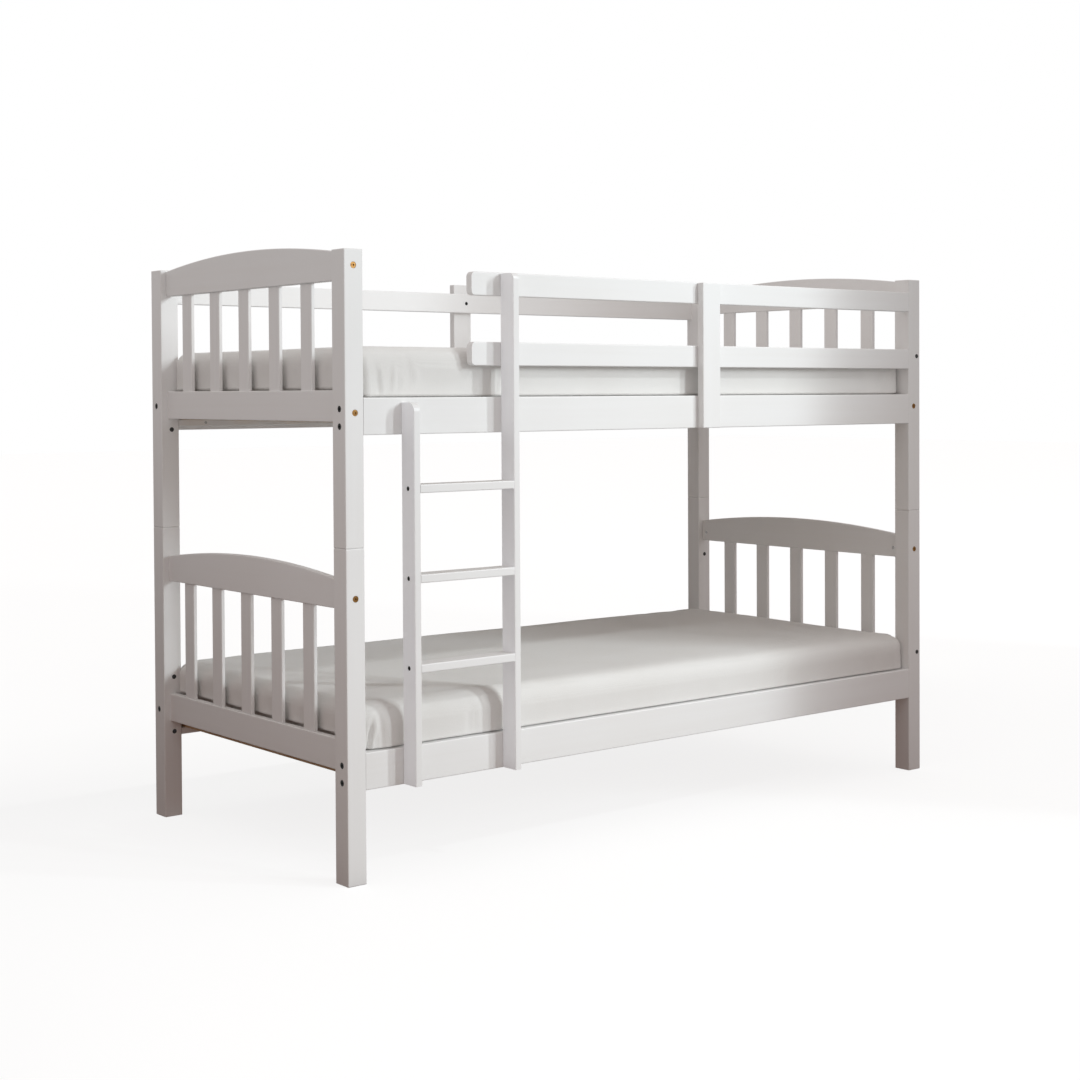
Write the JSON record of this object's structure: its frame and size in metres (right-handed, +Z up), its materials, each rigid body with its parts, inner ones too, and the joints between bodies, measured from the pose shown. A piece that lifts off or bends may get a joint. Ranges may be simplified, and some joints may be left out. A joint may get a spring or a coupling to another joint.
{
  "type": "bunk bed with ladder",
  "caption": "White painted timber bunk bed with a fixed ladder, arched slatted ends, guard rails and mattresses; the upper bed lifts off the lower one.",
  "frame": {"origin": "on the floor, under the middle of the whole bed's box, ladder included", "axes": "+X along the bed, away from the ladder end; +Y from the ladder side to the back; +Z up"},
  "size_m": [1.992, 1.037, 1.478],
  "materials": {
    "white_paint": "satin",
    "bare_pine": "matte",
    "zinc_steel": "satin",
    "brass": "satin",
    "black_steel": "satin",
    "black_plastic": "matte",
    "sheet": "matte"
  },
  "bodies": {
    "lower_bed": {"lower_post_front_left": "white_paint", "lower_post_front_right": "white_paint", "lower_post_back_left": "white_paint", "lower_post_back_right": "white_paint", "lower_side_rail_front": "white_paint", "lower_side_rail_back": "white_paint", "lower_arch_left": "white_paint", "lower_arch_right": "white_paint", "lower_end_rail_left": "white_paint", "lower_end_rail_right": "white_paint", "lower_spindles_left": "white_paint", "lower_spindles_right": "white_paint", "lower_slat_ledges": "white_paint", "lower_slats": "bare_pine", "lower_base_screws": "zinc_steel", "lower_side_bolts": "black_steel", "lower_end_bolts": "brass", "lower_barrel_nuts": "zinc_steel", "lower_dowels": "bare_pine", "lower_hole_caps": "black_plastic", "joining_pins": "zinc_steel"},
    "upper_bed": {"upper_post_front_left": "white_paint", "upper_post_front_right": "white_paint", "upper_post_back_left": "white_paint", "upper_post_back_right": "white_paint", "upper_side_rail_front": "white_paint", "upper_side_rail_back": "white_paint", "upper_arch_left": "white_paint", "upper_arch_right": "white_paint", "upper_end_rail_left": "white_paint", "upper_end_rail_right": "white_paint", "upper_spindles_left": "white_paint", "upper_spindles_right": "white_paint", "upper_slat_ledges": "white_paint", "upper_slats": "bare_pine", "upper_base_screws": "zinc_steel", "upper_side_bolts": "black_steel", "upper_end_bolts": "brass", "upper_barrel_nuts": "zinc_steel", "upper_dowels": "bare_pine", "upper_hole_caps": "black_plastic", "guard_rail_top": "white_paint", "guard_rail_middle": "white_paint", "guard_board_front": "white_paint", "guard_rail_back": "white_paint", "guard_batten_back": "white_paint", "guard_screws": "black_steel", "guard_dowels": "bare_pine", "ladder_stile_left": "white_paint", "ladder_stile_right": "white_paint", "ladder_rung_bottom": "white_paint", "ladder_rung_middle": "white_paint", "ladder_rung_top": "white_paint", "ladder_rung_screws": "black_steel", "ladder_fixing_screws": "black_steel", "ladder_dowels": "bare_pine"},
    "mattress_low": {"lower_mattress": "sheet"},
    "mattress_high": {"upper_mattress": "sheet"}
  },
  "joints": [
    {"name": "upper_bed_lift", "type": "slide", "parent": "lower_bed", "child": "upper_bed", "axis": [0, 0, 1], "range_m": [0, 0.12]},
    {"name": "lower_mattress_lift", "type": "slide", "parent": "lower_bed", "child": "mattress_low", "axis": [0, 0, 1], "range_m": [0, 0.12]},
    {"name": "upper_mattress_lift", "type": "slide", "parent": "upper_bed", "child": "mattress_high", "axis": [0, 0, 1], "range_m": [0, 0.36]}
  ]
}
